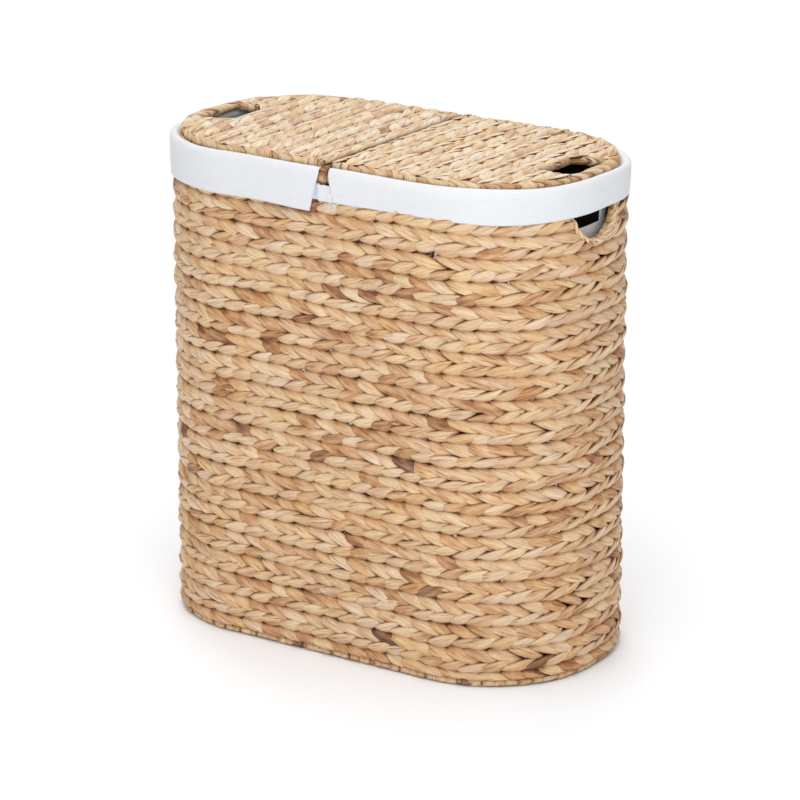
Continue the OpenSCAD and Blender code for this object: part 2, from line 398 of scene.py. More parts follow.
def wraps(heap, path, closed, surface, pitch, in_r, out_r, bulge, level=0.0, dark=0.04, slant=0.18,
          tones=None, start=0.0, stop=None, uneven=0.07):
    """Bands of leaf wound round a bar that follows path, a line in the surface's own (u, v)."""
    total = path_length(path, closed) if stop is None else stop
    count = max(int(round((total - start) / pitch)), 1)
    vary = spreads(count)
    pitch = (total - start) / count
    s0 = start + (np.arange(count) + 0.5) * pitch + rng.normal(0, uneven, count) * pitch
    turn = ring_angles(WRAP_RINGS)[None, :, None]
    sec = ring_angles(WRAP_SIDES)[None, None, :]
    q, c = power(np.cos(sec), 0.75), np.sin(sec)
    half = pitch * 0.57 * (1 + vary(1.3 * uneven))
    high = bulge * np.clip(1 + vary(3.5 * uneven), 0.5, 1.25)
    tilt = pitch * (slant * 2 + vary(2.5 * uneven))
    phase = rng.uniform(0, TURN, (count, 1, 1))
    lift = high * (np.maximum(c, 0) ** 0.7) - 0.6 * MM * (c < 0)
    lift = lift - 0.2 * high * (1 - np.sin(2 * turn + phase)) * np.maximum(c, 0)
    s = s0[:, None, None] + q * half + tilt * np.cos(turn)
    point, tan = walk(path, s if closed else np.clip(s, start, total), closed)
    off = (in_r + lift) * np.cos(turn)
    n = level + (out_r + lift) * np.sin(turn)
    uv = point + stack(tan[..., 1], -tan[..., 0]) * off[..., None]
    co = surface(uv[..., 0], uv[..., 1], n)
    tones = pick_tones(count, dark) if tones is None else tones
    seed = rng.uniform(0, 100, count)
    # edge, the band's sides, weights painted shade where bands meet
    heap.add(co, (turn * in_r, q * half, seed[:, None, None]), tones[:, None, None], np.abs(q) ** 3,
             tube_faces(count, WRAP_RINGS, WRAP_SIDES, closed=True))


def bar(heap, pts, radius, sides=8, closed=False, tone=0.5, seed=1.0, ply=0, ply_turn=6 * MM):
    """A round cord along 3D points; with ply it is laid up from that many strands."""
    count = len(pts)
    nxt = np.roll(pts, -1, axis=0) if closed else np.vstack([pts[1:], 2 * pts[-1:] - pts[-2:-1]])
    prv = np.roll(pts, 1, axis=0) if closed else np.vstack([2 * pts[:1] - pts[1:2], pts[:-1]])
    tan = unit(nxt - prv)
    ref = np.zeros_like(tan)
    normal = np.cross(tan[0], [0.31, 0.22, 0.92])
    normal /= np.linalg.norm(normal)
    for i in range(count):
        normal = normal - tan[i] * np.dot(normal, tan[i])
        normal /= np.linalg.norm(normal)
        ref[i] = normal
    bi = np.cross(tan, ref)
    run = arc_lengths(pts)
    lines = [] if ply else [(pts, radius)]
    for k in range(ply):
        ang = run / ply_turn * TURN + k * TURN / ply
        shift = (np.cos(ang)[:, None] * ref + np.sin(ang)[:, None] * bi) * radius * 0.5
        lines.append((pts + shift, radius * 0.56))
    ang = ring_angles(sides)[None, :]
    ring = np.cos(ang)[..., None] * ref[:, None, :] + np.sin(ang)[..., None] * bi[:, None, :]
    for k, (line, r) in enumerate(lines):
        # edge 0.15 gives cords a light, even painted shade in the leaf materials
        heap.add(line[:, None, :] + ring * r, (run[:, None], np.cos(ang) * r, seed + 3.7 * k), tone, 0.15,
                 tube_faces(1, count, sides, closed))


def slab(heap, outer, inner, mask=None, tone=0.5, loop_u=False, uv=None):
    """A closed sheet between two grids of points; cells where mask is False are left open."""
    nu, nv = outer.shape[:2]
    cu = nu if loop_u else nu - 1
    keep = np.ones((cu, nv - 1), bool) if mask is None else mask
    i, j = np.nonzero(keep)
    i2 = (i + 1) % nu
    a, b, c, d = i * nv + j, i2 * nv + j, i2 * nv + j + 1, i * nv + j + 1
    off = nu * nv
    pad = np.zeros((cu + 2, nv + 1), bool)
    pad[1:-1, 1:-1] = keep
    if loop_u:
        pad[0, 1:-1], pad[-1, 1:-1] = keep[-1], keep[0]
    faces = [stack(a, b, c, d), stack(a, d, c, b) + off]
    for du, dv, p, r in ((-1, 0, d, a), (1, 0, b, c), (0, -1, a, b), (0, 1, c, d)):
        open_side = ~pad[i + 1 + du, j + 1 + dv]
        p, r = p[open_side], r[open_side]
        faces.append(stack(r, p, p + off, r + off))
    faces = np.concatenate(faces)
    co = np.concatenate([outer.reshape(-1, 3), inner.reshape(-1, 3)])
    used = np.zeros(len(co), bool)
    used[faces.ravel()] = True
    renum = np.cumsum(used) - 1
    uv = np.zeros((nu, nv, 2)) if uv is None else uv
    uv = np.concatenate([uv.reshape(-1, 2)] * 2)[used]
    heap.add(co[used], (uv[:, 0], uv[:, 1], 2.0), tone, 0.4, [renum[faces]])


def disc(heap, top, low):
    """A closed plate from rings of points that shrink to one middle point."""
    nu, nv = top.shape[:2]
    co = np.concatenate([top[:1, 0], low[:1, 0], top[:, 1:].reshape(-1, 3), low[:, 1:].reshape(-1, 3)])
    m = nv - 1
    i = np.arange(nu)
    a, b = 2 + i * m, 2 + (i + 1) % nu * m
    off = nu * m
    tris = np.concatenate([stack(np.zeros(nu, int), a, b), stack(np.ones(nu, int), b + off, a + off)])
    quads = []
    for j in range(m - 1):
        quads.append(stack(a + j, a + j + 1, b + j + 1, b + j))
        quads.append(stack(a + j, b + j, b + j + 1, a + j + 1) + off)
    rim = m - 1
    quads.append(stack(a + rim, a + rim + off, b + rim + off, b + rim))
    heap.add(co, (co[:, 0], co[:, 1], 5.0), 0.6, 0.3, [tris, np.concatenate(quads)])


# ---------- materials ----------


class Nodes:
    """Small helper that builds one material's node tree."""

    def __init__(self, name):
        self.material = bpy.data.materials.new(name)
        self.material.use_nodes = True
        self.tree = self.material.node_tree
        self.tree.nodes.clear()
        out = self.tree.nodes.new("ShaderNodeOutputMaterial")
        self.shader = self.tree.nodes.new("ShaderNodeBsdfPrincipled")
        self.tree.links.new(self.shader.outputs[0], out.inputs[0])

    def put(self, socket, value):
        if isinstance(value, bpy.types.NodeSocket):
            self.tree.links.new(value, socket)
        else:
            socket.default_value = value

    def node(self, kind, inputs, **settings):
        """Adds a node with its settings, and values or links for its inputs; gives its outputs."""
        n = self.tree.nodes.new("ShaderNode" + kind)
        for key, value in settings.items():
            setattr(n, key, value)
        for key, value in inputs.items():
            self.put(n.inputs[key], value)
        return n.outputs

    def position(self):
        return self.node("NewGeometry", {})["Position"]

    def strand(self):
        """Along, across and seed of the strand."""
        vector = self.node("Attribute", {}, attribute_name="strand")["Vector"]
        return list(self.node("SeparateXYZ", {0: vector}))

    def value(self, name):
        return self.node("Attribute", {}, attribute_name=name)["Fac"]

    def join(self, x, y, z):
        return self.node("CombineXYZ", {0: x, 1: y, 2: z})[0]

    def math(self, kind, a, b=0.0, clamp=False):
        return self.node("Math", {0: a, 1: b}, operation=kind, use_clamp=clamp)[0]

    def mul(self, a, b):
        return self.math("MULTIPLY", a, b)

    def add(self, a, b):
        return self.math("ADD", a, b)

    def noise(self, vector, scale, detail=3.0, rough=0.5):
        inputs = {"Vector": vector, "Scale": scale, "Detail": detail, "Roughness": rough}
        return self.node("TexNoise", inputs)["Fac"]

    def ramp(self, factor, stops):
        n = self.tree.nodes.new("ShaderNodeValToRGB")
        while len(n.color_ramp.elements) < len(stops):
            n.color_ramp.elements.new(0.5)
        for e, (pos, col) in zip(n.color_ramp.elements, stops):
            e.position = pos
            e.color = (*col, 1)
        self.put(n.inputs[0], factor)
        return n.outputs[0]

    def grey(self, factor, low, high):
        """0 at low and 1 at high."""
        return self.node("MapRange", {"Value": factor, "From Min": low, "From Max": high})["Result"]

    def mix(self, factor, a, b, kind="MIX"):
        a, b = ((*v, 1) if isinstance(v, tuple) else v for v in (a, b))
        return self.node("Mix", {0: factor, 6: a, 7: b}, data_type="RGBA", blend_type=kind)[2]

    def bump(self, height, distance, strength=1.0, normal=None):
        inputs = {"Distance": distance, "Strength": strength, "Height": height}
        if normal is not None:
            inputs["Normal"] = normal
        return self.node("Bump", inputs)[0]

    def finish(self, colour, rough, normal=None, specular=0.5, metallic=0.0, sheen=0.0):
        s = self.shader.inputs
        self.put(s["Base Color"], colour)
        self.put(s["Roughness"], rough)
        s["Specular IOR Level"].default_value = specular
        s["Metallic"].default_value = metallic
        s["Sheen Weight"].default_value = sheen
        if normal is not None:
            self.put(s["Normal"], normal)
        return self.material


LEAF_TONES = [
    (0.00, (0.84, 0.67, 0.47)), (0.22, (0.78, 0.58, 0.372)), (0.42, (0.715, 0.478, 0.268)),
    (0.58, (0.62, 0.36, 0.18)), (0.72, (0.48, 0.235, 0.105)), (0.86, (0.30, 0.13, 0.06)),
    (1.00, (0.13, 0.055, 0.03)),
]


def leaf_material(name, shift=0.0, gain=(1.0, 1.0, 1.0), fibre_bump=0.8 * MM, crease_shade=0.9):
    """Dried water hyacinth: long fibres and stains; where strands meet, their edges carry painted shade, a
    warm tint and dark lines.
    """
    m = Nodes(name)
    along, across, seed = m.strand()
    tone, edge = m.value("tone"), m.value("edge")
    shuffled = m.mul(seed, 7.13)

    def grain(stretch, fine, offset, detail=3.0, rough=0.55):
        x, y = m.mul(along, stretch), m.mul(across, fine)
        return m.noise(m.join(x, y, m.add(shuffled, offset)), 1.0, detail, rough)

    fibres = grain(0.35, 7.0, 0.0, 4.0, 0.62)
    hair = grain(0.8, 30.0, 3.1)
    veins = grain(0.3, 4.0, 12.9, 2.0)
    pits = grain(2.6, 5.0, 8.7, 2.0)
    blush = m.noise(m.join(shuffled, m.mul(along, 0.2), 0.0), 1.0, 1.0)
    gold = m.noise(m.join(m.mul(seed, 3.31), 2.7, 0.0), 1.0, 1.0)
    stain = m.mul(m.math("SUBTRACT", grain(0.35, 1.5, 5.3), 0.5), 1.25)
    colour = m.ramp(m.math("ADD", m.add(tone, stain), shift, clamp=True), LEAF_TONES)
    for kind, mask, strength, tint in (
        ("MIX", m.grey(blush, 0.5, 0.72), 0.38, (0.62, 0.41, 0.29)),
        ("MULTIPLY", m.grey(gold, 0.42, 0.66), 0.8, (1.03, 0.98, 0.78)),
        ("MULTIPLY", m.grey(fibres, 0.48, 0.68), 0.7, (0.68, 0.46, 0.29)),
        ("MULTIPLY", m.grey(veins, 0.61, 0.69), 0.7, (0.42, 0.19, 0.09)),
        ("MIX", m.grey(hair, 0.55, 0.8), 0.25, (0.88, 0.75, 0.56)),
        ("MIX", m.grey(pits, 0.66, 0.78), 0.55, (0.34, 0.16, 0.08)),
        # painted shade: the edge weight tints the strands' sides warm, as shade between leaves
        ("MULTIPLY", m.math("POWER", edge, 0.8), 0.62, (0.92, 0.72, 0.5)),
        # painted shade: dark lines at the strands' edges and ends, where they meet
        ("MULTIPLY", m.math("POWER", edge, 2.5), crease_shade, (0.16, 0.045, 0.015)),
    ):
        colour = m.mix(m.mul(mask, strength), colour, tint, kind)
    colour = m.mix(1.0, colour, gain, "MULTIPLY")
    normal = m.bump(m.add(fibres, m.mul(hair, 0.25)), fibre_bump, 0.9)
    return m.finish(colour, m.add(m.mul(fibres, 0.25), 0.40), normal, specular=0.42)


def canvas_material(name, tint=(0.79, 0.80, 0.82)):
    """Plain-woven cotton: two thread directions, slubs, and soft folds in its bump, with painted shade
    darkening along them.
    """
    m = Nodes(name)
    u, v, _ = m.strand()
    warp, weft = (m.math("SINE", m.mul(way, TURN / 0.11)) for way in (u, v))
    slub_u = m.noise(m.join(m.mul(u, 0.5), m.mul(v, 22.0), 0.0), 1.0, 2.0)
    slub_v = m.noise(m.join(m.mul(u, 22.0), m.mul(v, 0.5), 4.0), 1.0, 2.0)
    crease_bump_and_shade = m.noise(m.join(m.mul(u, 0.28), m.mul(v, 0.55), 9.0), 1.0, 3.0, 0.55)
    grey = m.mul(m.add(slub_u, slub_v), 0.5)
    colour = m.mix(m.grey(grey, 0.35, 0.68), tuple(c * 0.93 for c in tint), tint)
    # painted shade: darker along the folds' noise
    colour = m.mix(m.mul(m.grey(crease_bump_and_shade, 0.5, 0.8), 0.15), colour, tuple(c * 0.84 for c in tint))
    fine = m.bump(m.add(m.mul(m.mul(warp, weft), 0.35), grey), 0.25 * MM, 0.55)
    normal = m.bump(crease_bump_and_shade, 3.0 * MM, 0.45, fine)
    return m.finish(colour, m.add(m.mul(grey, 0.2), 0.78), normal, specular=0.25, sheen=0.15)


def wire_material():
    """Dark lacquered steel wire with faint drawing marks."""
    m = Nodes("frame_wire")
    geo = m.position()
    cloud = m.noise(geo, 60.0, 4.0)
    fine = m.noise(geo, 900.0, 2.0)
    colour = m.mix(m.grey(cloud, 0.35, 0.7), (0.055, 0.045, 0.04), (0.12, 0.085, 0.06))
    rough = m.add(m.mul(cloud, 0.3), 0.28)
    return m.finish(colour, rough, m.bump(fine, 0.1 * MM, 0.4), specular=0.5, metallic=0.6)


def backing_material():
    """Inner strands seen between the stitches, painted dark as the shade in the gaps, with pale specks of
    the white liner behind.
    """
    m = Nodes("weave_core_painted_shade")
    geo = m.position()
    cloud = m.noise(geo, 90.0, 4.0, 0.6)
    x, y, z = m.node("SeparateXYZ", {0: geo})
    rib = m.noise(m.join(m.mul(x, 120.0), m.mul(y, 120.0), m.mul(z, 600.0)), 1.0)
    colour = m.mix(m.grey(cloud, 0.4, 0.7), (0.03, 0.014, 0.008), (0.13, 0.07, 0.04))
    # pale specks: the white liner seen through the gaps
    liner_specks = m.grey(m.noise(geo, 130.0, 1.0), 0.62, 0.64)
    colour = m.mix(m.mul(liner_specks, 0.9), colour, (0.86, 0.85, 0.82))
    return m.finish(colour, 0.8, m.bump(rib, 1.2 * MM, 0.8), specular=0.2)


def tape_material(name, tint):
    """Hook-and-loop tape: dense short pile on a woven strip."""
    m = Nodes(name)
    u, v, _ = m.strand()
    pile = m.noise(m.join(u, v, 0.0), 26.0, 3.0, 0.7)
    rows = m.math("SINE", m.mul(v, TURN / 0.14))
    colour = m.mix(m.grey(pile, 0.4, 0.65), tuple(c * 0.86 for c in tint), tint)
    height = m.add(pile, m.mul(rows, 0.2))
    return m.finish(colour, 0.85, m.bump(height, 0.5 * MM, 0.8), specular=0.2, sheen=0.3)


LEAF = leaf_material("water_hyacinth", gain=(0.975, 0.965, 0.97), crease_shade=1.2)
# painted light: the lids' paler, cooler copies of the leaf stand for the stronger light on their tops; the
# lid leaf also has stronger painted shade where strands meet
LID_LEAF = leaf_material("water_hyacinth_lid", shift=-0.06, gain=(0.99, 1.08, 1.21), crease_shade=1.9)
WRAP = leaf_material("water_hyacinth_wrap", fibre_bump=0.4 * MM, crease_shade=0.8)
LID_WRAP = leaf_material("water_hyacinth_lid_wrap", shift=-0.02, gain=(0.96, 1.02, 1.08), crease_shade=0.9)
CORD = leaf_material("water_hyacinth_cord", shift=0.05, gain=(0.85, 0.77, 0.68), fibre_bump=0.4 * MM)
CORE_SHADE = backing_material()
CANVAS = canvas_material("liner_canvas")
WIRE = wire_material()
HOOK_TAPE = tape_material("hook_tape", (0.70, 0.68, 0.86))
# painted shade: a near-black copy of the canvas for the bag's inside
INNER_SHADE_CANVAS = canvas_material("liner_inner_painted_shade", (0.06, 0.055, 0.042))
LOOP_TAPE = tape_material("loop_tape", (0.86, 0.86, 0.90))

for wire_node in ("top_ring_wire", "base_ring_wire", "upright_wires", "cross_wires", "centre_bar",
                  "left_lid_wire", "right_lid_wire"):
    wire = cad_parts[wire_node]
    wire.data.materials.clear()
    wire.data.materials.append(WIRE)

# ---------- woven wall ----------

HANDLES = (at_right(HANDLE_Y), at_left(HANDLE_Y))


def handle_push(u, v, grow):
    """Moves points inside a grown hand opening out to its edge, and a whole stitch up or out as one."""
    whole = v.ndim == 3
    above = v.mean(axis=(1, 2), keepdims=True) > HANDLE_TOP - 2 * MM if whole else None
    for centre in HANDLES:
        du, dv = round_gap(u, centre), v - HANDLE_TOP
        r = HANDLE_R + grow
        d = np.hypot(du, dv)
        inside = (d < r) & (dv < grow)
        up = inside & (above if whole else grow - dv < r - d)
        out = inside & ~up
        scale = np.where(out, r / np.maximum(d, 1e-6), 1.0)
        u = np.where(out, centre + du * scale, u)
        v = np.where(out, HANDLE_TOP + dv * scale, v)
        v = np.where(up, HANDLE_TOP + grow, v)
    return u, v


def in_handles(u, v, grow, top):
    """Whether points lie in a hand opening grown by grow, and by top at its straight edge."""
    away = np.minimum(*(np.hypot(round_gap(u, centre), v - HANDLE_TOP) for centre in HANDLES))
    return (away < HANDLE_R + grow) & (v < HANDLE_TOP + top)


def hem_at(u):
    """Height of the liner cuff's hem."""
    return np.where(plan_at(u, 0)[0] < 0, CUFF_HEM[-1], CUFF_HEM[1])


def soft_floor(n, lowest):
    """Keeps a stitch's hidden side above a level, almost flat below it."""
    return np.where(n < lowest, lowest + 0.1 * (n - lowest), n)


def wall_limit(u, v, n):
    """Keeps stitches out of the hand openings, off the bindings and under the cuffs."""
    n = soft_floor(n, STITCH_FLOOR)
    u, v = handle_push(u, v, 4 * MM)
    v = np.clip(v, WALL_LO[2] - 1.5 * MM, RIM_HI[2] - 2 * MM)
    return u, v, np.where(v > hem_at(u) + UNDER_CUFF, np.minimum(n, PRESSED), n)


def woven_wall():
    """The wall's rows of stitches, two rows to a braid, in six pieces."""
    columns = int(round(PERIMETER / STITCH_PITCH))
    pitch = PERIMETER / columns
    bands = 6
    per_band = STITCH_ROWS // bands + 1
    row_wander = rng.uniform(0, pitch, STITCH_ROWS // 2 + 1)
    for band in range(bands):
        heap = Heap()
        for row in range(band * per_band, min((band + 1) * per_band, STITCH_ROWS)):
            centre_v = WALL_LO[2] + 1.5 * MM + row * ROW_H
            u = (np.arange(columns) + 0.5) * pitch + row_wander[row // 2] + rng.normal(0, 1.6 * MM, columns)
            lap = u / PERIMETER * TURN
            wave = 1.1 * MM * np.sin(3 * lap + row * 0.45) + 0.9 * MM * np.sin(7 * lap + row * 0.8)
            v = centre_v + wave + rng.normal(0, 0.6 * MM, columns)
            keep = ~in_handles(u, v, grow=-3 * MM, top=2 * MM)
            lens_strands(heap, u[keep], v[keep], 1.0 if row % 2 else -1.0, on_wall, wall_limit)
        heap.make(f"woven_wall_band_{band + 1}", LEAF, "basket")


def wall_core():
    """The inner face of the weave, with the two handle openings."""
    step = 5 * MM
    nu = int(PERIMETER / step)
    us = np.arange(nu) / nu * PERIMETER
    vs = np.linspace(WALL_LO[2], RIM_LO[2], int((RIM_LO[2] - WALL_LO[2]) / step))
    uu, vv = np.meshgrid(us, vs, indexing="ij")
    ripple = 0.8 * MM * np.sin(vv / ROW_H * TURN) * np.sin(uu / STITCH_PITCH * TURN)
    pu, pv = handle_push(uu, vv, CORE_GROW)
    outer, inner = (on_wall(pu, pv, depth + ripple) for depth in (CORE_OUT, CORE_IN))
    hole = in_handles(uu[:, :-1] + step / 2, (vv[:, :-1] + vv[:, 1:]) / 2, grow=CORE_GROW, top=CORE_GROW)
    heap = Heap()
    slab(heap, outer, inner, ~hole, tone=0.7, loop_u=True, uv=stack(uu, vv))
    heap.make("woven_wall_core", CORE_SHADE, "basket", "woven_wall")


# ---------- bindings ----------


def plan_path(inset, count=400):
    """The plan's outline, moved inwards."""
    x, y, _, _ = plan_at(np.arange(count) / count * PERIMETER, -inset)
    return stack(x, y)


def flat_at(level):
    """Surface map of a level plane: u and v are x and y, n is up."""
    return lambda u, v, n: stack(u, v, level + n)


def ring_binding(name, inset, z, pitch, wrap_r, core_r, bulge, **look):
    """Leaf wound round a ring of the plan; wrap_r and core_r are half-widths in and up."""
    heap = Heap()
    wraps(heap, plan_path(inset), True, flat_at(z), pitch, *wrap_r, bulge, **look)
    path = plan_path(inset, 240)
    tan = unit(np.roll(path, -1, axis=0) - np.roll(path, 1, axis=0))
    side = stack(tan[:, 1], -tan[:, 0])
    ang = ring_angles(12)[None, :]
    xy = path[:, None, :] + side[:, None, :] * (core_r[0] * np.cos(ang))[..., None]
    # edge 0.5 gives this core tube an even painted shade where it shows between the wraps
    heap.add(raised(xy, z + core_r[1] * np.sin(ang)), (0, 0, 0), 0.6, 0.5,
             tube_faces(1, len(path), 12, closed=True))
    heap.make(f"{name}_wraps", WRAP, "basket", name)


def base_binding():
    """Wraps round the wall's lower edge."""
    half_h = (BASE_HI[2] - BASE_LO[2]) / 2
    ring_binding("base_binding", inset=6.0 * MM, z=half_h, pitch=14 * MM, bulge=1.5 * MM,
                 wrap_r=(4.6 * MM, half_h - 1.9 * MM), core_r=(4.2 * MM, half_h - 1.6 * MM),
                 dark=0.05, uneven=0.1)


def rim_binding():
    """Wraps round the wall's upper edge."""
    half_h = (RIM_HI[2] - RIM_LO[2]) / 2
    ring_binding("rim_binding", inset=7.0 * MM, z=RIM_LO[2] + half_h, pitch=15 * MM, bulge=1.3 * MM,
                 wrap_r=(5.2 * MM, half_h - 1.4 * MM), core_r=(5.0 * MM, half_h - 1.2 * MM))


def handle_arc(centre_u, grow):
    """The curved side of a hand opening's half-moon, on the wall."""
    r = HANDLE_R + grow
    ang = np.linspace(math.pi, TURN, 60)
    return stack(centre_u + r * np.cos(ang), HANDLE_TOP + r * np.sin(ang))


def handle_binding(name, centre_u):
    """Wraps through the wall's thickness round the opening, and a rolled cord along its outer edge."""
    heap = Heap()
    grow = 2.8 * MM
    r, top = HANDLE_R + grow, HANDLE_TOP + grow
    straight = [[centre_u + r, top], [centre_u, top], [centre_u - r, top]]
    wraps(heap, np.vstack([handle_arc(centre_u, grow), straight]), True, on_wall, pitch=10 * MM,
          in_r=1.6 * MM, out_r=3.8 * MM, bulge=0.8 * MM, level=-4.6 * MM, slant=0.2, dark=0.0, uneven=0.04)
    arc = handle_arc(centre_u, 3.4 * MM)
    ramp = 8 * MM    # the cord draws back over this height as it goes under the cuff
    under_cuff = np.clip((arc[:, 1] - hem_at(centre_u) + ramp) / ramp, 0, 1)
    cord = on_wall(arc[:, 0], arc[:, 1], 0.4 * MM - 3.6 * MM * under_cuff)
    bar(heap, cord, 3.3 * MM, sides=10, ply=2, tone=0.16, seed=40, ply_turn=26 * MM)
    heap.make(f"{name}_wraps", WRAP, "basket", name)


# ---------- woven base ----------


def woven_base():
    """Stitches on the underside of the base, below an inner plate painted dark as shade."""
    heap = Heap()
    level = (PLATE_LO[2] + PLATE_HI[2]) / 2
    rows = int((2 * HALF_D - 24 * MM) / ROW_H)
    columns = int((2 * HALF_L - 24 * MM) / STITCH_PITCH)
    inset = 12.5 * MM

    def underside(u, v, n):
        return stack(u, v, level - n)

    def inside(u, v, n):
        x, y = plan_limit(u, v, inset)
        return x, y, n

    for row in range(rows):
        v = np.full(columns, (row + 0.5 - rows / 2) * ROW_H) + rng.normal(0, 0.4 * MM, columns)
        u = (np.arange(columns) + 0.5 - columns / 2) * STITCH_PITCH + rng.normal(0, 1 * MM, columns)
        x, y = plan_limit(u, v, inset + 6 * MM)
        keep = np.hypot(x - u, y - v) < 4 * MM
        lens_strands(heap, u[keep], v[keep], 1.0 if row % 2 else -1.0, underside, inside,
                     bulge=2.8 * MM, sink=0.0, dive=2.0 * MM, crown=1.2 * MM)
    heap.make("woven_base_stitches", LEAF, "basket")
    xy = plan_path(inset, 160)[:, None, :] * np.linspace(0, 1, 12)[None, :, None]
    core = Heap()
    disc(core, raised(xy, PLATE_HI[2]), raised(xy, level))
    core.make("woven_base_core", CORE_SHADE, "basket", "woven_base")


# ---------- lids ----------

NOSE_R = 5.2 * MM
NOSE_TURN = NOSE_R * math.pi / 2
LID_FLAT = 1.0 * MM        # above this the lid's stitches are pressed flat
LID_DEEP = -4.0 * MM       # below this they are pressed into the lid's inner plate
SLOT_TRIM = 1.5 * MM


def lid_surface(side):
    """Surface map of a lid: u along the seam, v away from it, on the top if v > 0, or underneath."""

    def at(u, v, n):
        phi = np.clip(v / NOSE_R, -math.pi / 2, math.pi / 2)
        run = np.maximum(np.abs(v) - NOSE_TURN, 0)
        x = HINGE_X + run - (NOSE_R + n) * np.cos(phi)
        z = HINGE_Z + (NOSE_R + n) * np.sin(phi)
        return stack(side * x, u, z)

    return at


def lid_x(v):
    """Distance from the seam's plane at v, where the lid is flat."""
    return HINGE_X + np.maximum(np.abs(v) - NOSE_TURN, 0)


def lid_limit(edge_inset):
    """Keeps stitches inside the lid's edge, out of its handle slot and clear of the cord ties."""

    slot_half = SLOT_HALF + SLOT_TRIM
    tie_room = TIE_HALF + 1.2 * MM

    def at(u, v, n):
        x = lid_x(v)
        cx, u = plan_limit(x, u, edge_inset)
        v = v - np.sign(v) * (x - cx)
        x = lid_x(v)
        in_slot = (x > SLOT_X - SLOT_TRIM) & (np.abs(u) < slot_half)
        to_seam = x - SLOT_X + SLOT_TRIM
        to_end = slot_half - np.abs(u)
        seamward = in_slot & (to_seam < to_end)
        endward = in_slot & ~seamward
        v = np.where(seamward, v - np.sign(v) * to_seam, v)
        u = np.where(endward, np.sign(u) * slot_half, u)
        n = n - 1.7 * MM * np.exp(-((v / (6 * MM)) ** 2))
        n = np.minimum(n, LID_FLAT + 0.25 * (n - LID_FLAT))
        past = np.abs(u) - TIE_Y
        tie = (np.abs(past) < tie_room) & (np.abs(v) < NOSE_TURN + 5.5 * MM)
        u = np.where(tie, np.sign(u) * (TIE_Y + np.sign(past + 1e-9) * tie_room), u)
        return u, v, soft_floor(n, LID_DEEP)

    return at


def lid_weave(name, side):
    """Rows of stitches on the lid's top and underside, from the seam to the outer edge."""
    body = f"{name}_lid"
    surface = lid_surface(side)
    inset = EDGE_IN - 1.5 * MM
    limit = lid_limit(inset)
    depth = HALF_D - EDGE_IN
    columns = int(round(2 * depth / STITCH_PITCH)) + 1
    pitch = 2 * depth / columns
    reach = HALF_L - EDGE_IN - HINGE_X + NOSE_TURN
    rows = int(reach / ROW_H) + 1
    for face, label in ((1, "top"), (-1, "under")):
        heap = Heap()
        for row in range(rows):
            v = face * (row + 0.5) * ROW_H + rng.normal(0, 0.5 * MM, columns + 1)
            u = (np.arange(columns + 1) - columns / 2) * pitch + rng.normal(0, 1.4 * MM, columns + 1)
            x = lid_x(v)
            cx, cy = plan_limit(x, u, inset + 5 * MM)
            in_slot = (x > SLOT_X + 4 * MM) & (np.abs(u) < SLOT_HALF - 4 * MM)
            keep = (np.hypot(cx - x, cy - u) < 5 * MM) & ~in_slot
            if not keep.any():
                continue
            lay = (-1.0 if row % 2 else 1.0) * face
            lens_strands(heap, u[keep], v[keep], lay, surface, limit, half_wid=8.5 * MM, bulge=4.2 * MM,
                         sink=-2.9 * MM, crown=2.2 * MM, tones=pick_tones(keep.sum(), 0.012), lean=15.0,
                         shingle=1.1 * MM)
        heap.make(f"{name}_lid_weave_{label}", LID_LEAF, body)


def lid_core(name, side):
    """Inner plate of a lid, painted dark as the shade inside the weave, with its handle slot."""
    half_t, inset = 1.8 * MM, EDGE_IN + 2 * MM
    xs = np.unique(np.concatenate([
        np.linspace(HINGE_X + 7 * MM, SLOT_X, 40), np.linspace(SLOT_X, HALF_L - inset, 12)]))
    depth = HALF_D - inset
    ys = np.unique(np.concatenate([
        np.linspace(-depth, -SLOT_HALF, 20), np.linspace(-SLOT_HALF, SLOT_HALF, 17),
        np.linspace(SLOT_HALF, depth, 20)]))
    xx, yy = np.meshgrid(xs, ys, indexing="ij")
    px, py = plan_limit(xx, yy, inset)
    cx, cy = (xx[:-1, :-1] + xx[1:, 1:]) / 2, (yy[:-1, :-1] + yy[1:, 1:]) / 2
    qx, qy = plan_limit(cx, cy, inset)
    mask = (np.hypot(qx - cx, qy - cy) < 3 * MM) & ~((cx > SLOT_X) & (np.abs(cy) < SLOT_HALF))
    faces = [raised(stack(side * px, py), HINGE_Z + sign * half_t) for sign in (side, -side)]
    heap = Heap()
    slab(heap, *faces, mask, tone=0.7)
    heap.make(f"{name}_lid_core", CORE_SHADE, f"{name}_lid", f"{name}_lid_panel")


def lid_outline(side, inset):
    """The lid's edge from the seam's front corner round the end to its rear corner."""
    s = np.linspace(at_front(HINGE_X), at_back(HINGE_X), 300)
    x, y, _, _ = plan_at(s, -inset)
    path = stack(side * x, y)
    return path if side > 0 else path[::-1]


def slot_trim(name, side, body, surface):
    """Leaf wound round the weave's cut ends on the slot's three inner sides."""
    edge_x, edge_y, turn = SLOT_X - 1.2 * MM, SLOT_HALF + 1.2 * MM, 7 * MM
    bend = np.radians(np.linspace(0, 90, 8))
    far = HALF_L - EDGE_IN - 5 * MM
    corner_x = edge_x + turn - turn * np.sin(bend)
    corner_y = edge_y - turn + turn * np.cos(bend)
    x = np.concatenate([[far], corner_x, corner_x[::-1], [far]])
    y = np.concatenate([[edge_y], corner_y, -corner_y[::-1], [-edge_y]])
    path = stack(side * x, y)
    heap = Heap()
    wraps(heap, path, False, surface, pitch=13 * MM, in_r=2.2 * MM, out_r=4.0 * MM, bulge=1.3 * MM,
          slant=0.35, uneven=0.12, dark=0.0)
    bar(heap, raised(path, HINGE_Z), 2.1 * MM, sides=10, tone=0.45)
    heap.make(f"{name}_lid_slot_wraps", LID_WRAP, body)


